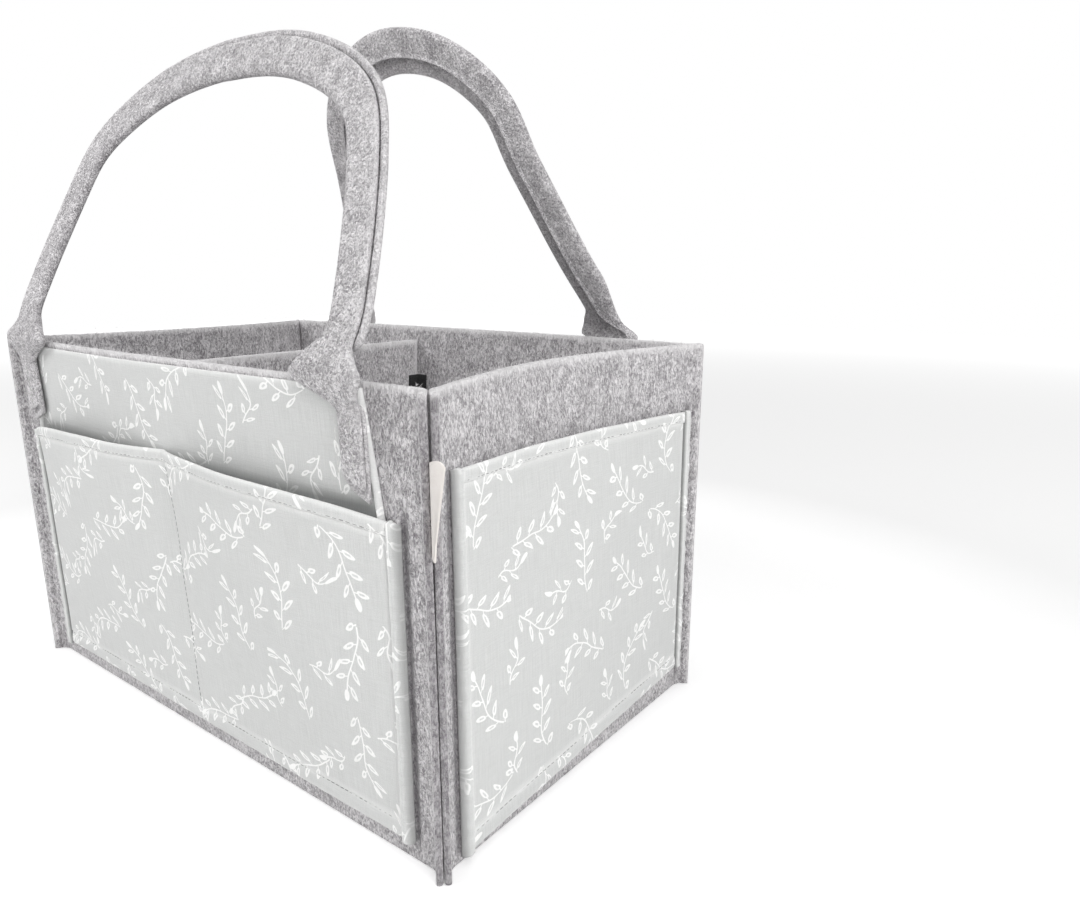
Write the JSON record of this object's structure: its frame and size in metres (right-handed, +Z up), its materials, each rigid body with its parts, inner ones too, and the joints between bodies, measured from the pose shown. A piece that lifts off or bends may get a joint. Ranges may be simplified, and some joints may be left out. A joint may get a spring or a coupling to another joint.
{
  "type": "nursery organizer",
  "caption": "Rectangular felt caddy with printed fabric pockets outside, two folded felt handles and a lift-out felt divider.",
  "frame": {"origin": "centre of the underside of the base, on the surface that the organizer stands on", "axes": "+X along the length towards the end wall beside the label, +Y along the width towards the rear wall, +Z up"},
  "size_m": [0.3618, 0.234, 0.3671],
  "materials": {
    "felt": "3 mm grey melange felt with fuzzy cut edges",
    "print_fabric": "plain-woven greenish grey cotton with a white leaf sprig print",
    "label_ribbon": "smooth cream ribbon, bare",
    "hook_tape": "black hook tape"
  },
  "bodies": {
    "caddy": {"base_panel": "felt", "front_wall": "felt", "rear_wall": "felt", "right_end_wall": "felt", "left_end_wall": "felt", "front_pocket_panel": "print_fabric", "front_pocket_hem": "print_fabric", "front_pocket_band": "print_fabric", "front_pocket_binding_right": "print_fabric", "front_pocket_binding_left": "print_fabric", "rear_pocket_panel": "print_fabric", "rear_pocket_hem": "print_fabric", "rear_pocket_band": "print_fabric", "rear_pocket_binding_right": "print_fabric", "rear_pocket_binding_left": "print_fabric", "right_end_pocket_panel": "print_fabric", "right_end_pocket_hem": "print_fabric", "right_end_pocket_band": "print_fabric", "right_end_pocket_binding_front": "print_fabric", "right_end_pocket_binding_rear": "print_fabric", "left_end_pocket_panel": "print_fabric", "left_end_pocket_hem": "print_fabric", "left_end_pocket_band": "print_fabric", "left_end_pocket_binding_front": "print_fabric", "left_end_pocket_binding_rear": "print_fabric", "front_lining_panel": "print_fabric", "front_lining_edge_right": "print_fabric", "front_lining_edge_left": "print_fabric", "rear_lining_panel": "print_fabric", "rear_lining_edge_right": "print_fabric", "rear_lining_edge_left": "print_fabric", "front_strap_end_right_outer": "felt", "front_strap_end_right_inner": "felt", "front_strap_end_left_outer": "felt", "front_strap_end_left_inner": "felt", "rear_strap_end_right_outer": "felt", "rear_strap_end_right_inner": "felt", "rear_strap_end_left_outer": "felt", "rear_strap_end_left_inner": "felt", "label_tab": "label_ribbon"},
    "front_handle": {"front_handle": "felt"},
    "rear_handle": {"rear_handle": "felt"},
    "divider": {"divider_panel": "felt", "divider_hook_tape_rear": "hook_tape", "divider_hook_tape_front": "hook_tape"}
  },
  "joints": [
    {"name": "front_handle_swing", "type": "hinge", "parent": "caddy", "child": "front_handle", "pos_m": [0, -0.115, 0.202], "axis": [1, 0, 0], "range_deg": [-20, 150]},
    {"name": "rear_handle_swing", "type": "hinge", "parent": "caddy", "child": "rear_handle", "pos_m": [0, 0.11602, 0.202], "axis": [-1, 0, 0], "range_deg": [-20, 150]},
    {"name": "divider_lift", "type": "slide", "parent": "caddy", "child": "divider", "axis": [0, 0, 1], "range_m": [0, 0.09]}
  ]
}
